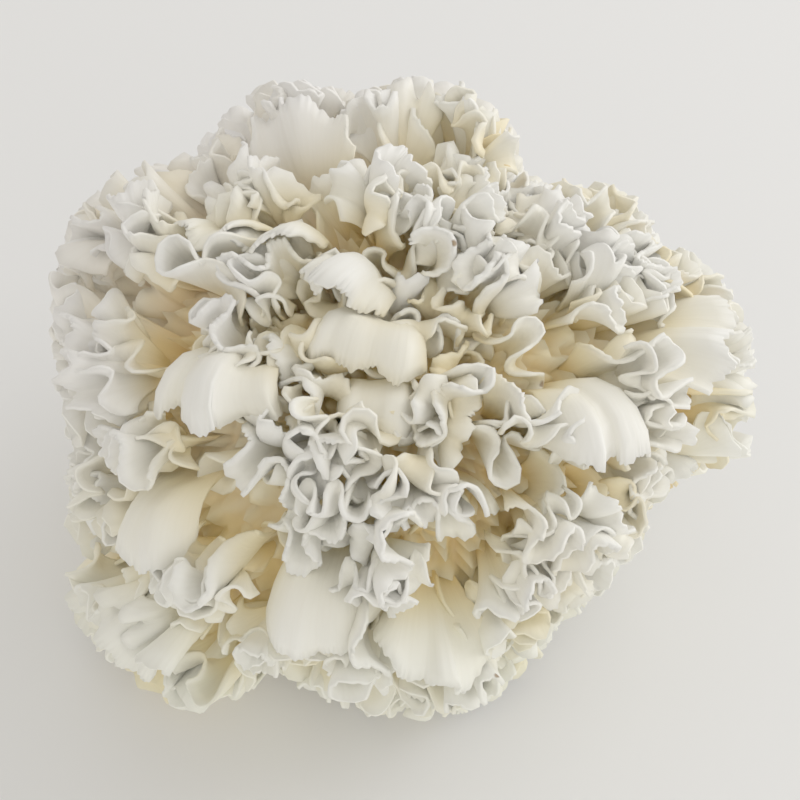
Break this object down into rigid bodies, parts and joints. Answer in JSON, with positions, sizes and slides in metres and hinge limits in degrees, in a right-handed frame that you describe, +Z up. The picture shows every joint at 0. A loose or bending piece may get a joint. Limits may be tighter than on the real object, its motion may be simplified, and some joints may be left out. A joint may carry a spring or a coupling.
{
  "type": "cauliflower mushroom",
  "caption": "Fruit body of a cauliflower mushroom: a dense head of ruffled pale fronds on a short stem cut flat, resting on the cut.",
  "frame": {"origin": "middle of the flat cut face of the stem, on the surface that the mushroom rests on", "axes": "+Z up out of the cut face, +X to the right of the pictured side, -Y towards the viewer"},
  "size_m": [0.1767, 0.1743, 0.1369],
  "materials": {
    "tissue": "soft matte, slightly translucent"
  },
  "bodies": {
    "root": {"fruit_body": "tissue"}
  },
  "joints": []
}
